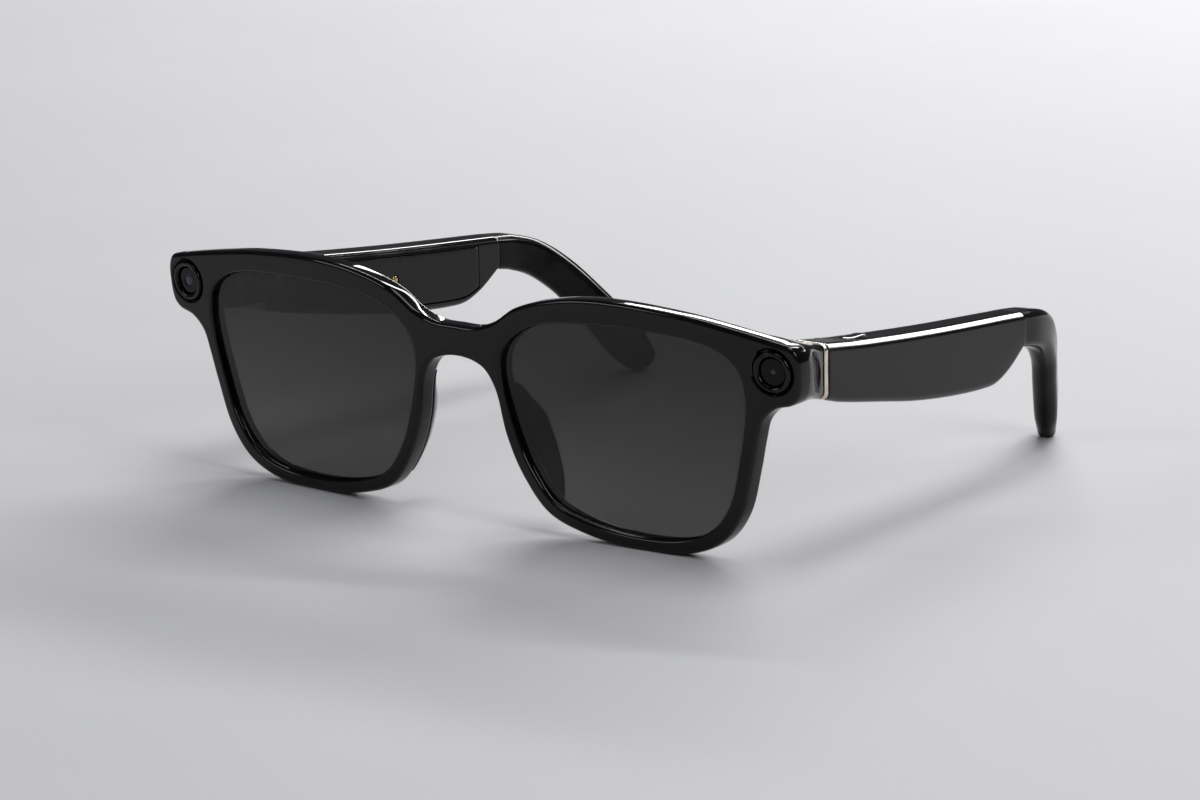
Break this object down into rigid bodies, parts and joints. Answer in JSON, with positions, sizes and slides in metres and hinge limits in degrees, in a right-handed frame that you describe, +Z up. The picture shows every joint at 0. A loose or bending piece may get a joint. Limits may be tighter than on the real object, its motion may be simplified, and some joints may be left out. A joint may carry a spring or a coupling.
{
  "type": "smart glasses",
  "caption": "Wrapped black full-rim glasses with smoke lenses, cameras in the end pieces, and folding hollow temples that hold the electronics.",
  "frame": {"origin": "middle of the footprint, on the surface that the rims and temple tips rest on", "axes": "+Z up, +X towards the wearer's left, -Y the way the wearer looks"},
  "size_m": [0.1424, 0.1166, 0.0438],
  "materials": {
    "gloss_black": "polished black acetate",
    "satin_black": "satin",
    "temple_black": "satin lacquer with a fine grain",
    "soft_black": "soft touch",
    "smoke_lens": "polished neutral grey tint",
    "window_glass": "polished",
    "module_black": "moulded",
    "champagne_metal": "polished champagne anodised",
    "pale_metal": "brushed",
    "steel": "turned",
    "contact_gold": "gold plated",
    "foil_metal": "stamped can",
    "battery_foil": "crimped laminate",
    "board_green": "solder mask",
    "polyimide": "thin film"
  },
  "bodies": {
    "front": {"brow_cover": "satin_black", "camera_bezel_left": "gloss_black", "camera_bezel_right": "gloss_black", "camera_module_right": "module_black", "camera_window_left": "window_glass", "camera_window_right": "window_glass", "front_flex_cable": "polyimide", "front_frame": "gloss_black", "hinge_front_leaf_left": "pale_metal", "hinge_front_leaf_right": "pale_metal", "hinge_front_screw_left": "steel", "hinge_front_screw_right": "steel", "hinge_pin_left": "steel", "hinge_pin_right": "steel", "lens_left": "smoke_lens", "lens_right": "smoke_lens", "light_sensor_module_left": "module_black", "nose_pad_left": "soft_black", "nose_pad_right": "soft_black"},
    "left_temple": {"battery_left": "battery_foil", "capture_switch_left": "steel", "hinge_temple_leaf_left": "pale_metal", "hinge_temple_screw_left": "steel", "microphone_left": "foil_metal", "speaker_grille_left": "steel", "speaker_left": "module_black", "temple_inner_cover_left": "gloss_black", "temple_shell_left": "temple_black", "temple_tip_left": "soft_black", "temple_trim_left": "champagne_metal", "tip_core_wire_left": "steel"},
    "right_temple": {"charging_board_right": "board_green", "charging_contact_front_right": "contact_gold", "charging_contact_rear_right": "contact_gold", "hinge_temple_leaf_right": "pale_metal", "hinge_temple_screw_right": "steel", "main_board_right": "board_green", "microphone_right": "foil_metal", "processor_right": "module_black", "speaker_grille_right": "steel", "speaker_right": "module_black", "temple_inner_cover_right": "gloss_black", "temple_shell_right": "temple_black", "temple_tip_right": "soft_black", "temple_trim_right": "champagne_metal", "tip_core_wire_right": "steel", "touch_sensor_right": "polyimide"},
    "capture_button": {"capture_button_left": "gloss_black"}
  },
  "joints": [
    {"name": "left_temple_fold", "type": "hinge", "parent": "front", "child": "left_temple", "pos_m": [0.0605, -0.0418, 0.0332], "axis": [0, 0, 1], "range_deg": [0, 83]},
    {"name": "right_temple_fold", "type": "hinge", "parent": "front", "child": "right_temple", "pos_m": [-0.0605, -0.0418, 0.0332], "axis": [0, 0, -1], "range_deg": [0, 69]},
    {"name": "capture_button_press", "type": "slide", "parent": "left_temple", "child": "capture_button", "axis": [0, 0, -1], "range_m": [0, 0.0004], "stiffness_N_per_m": 800}
  ]
}
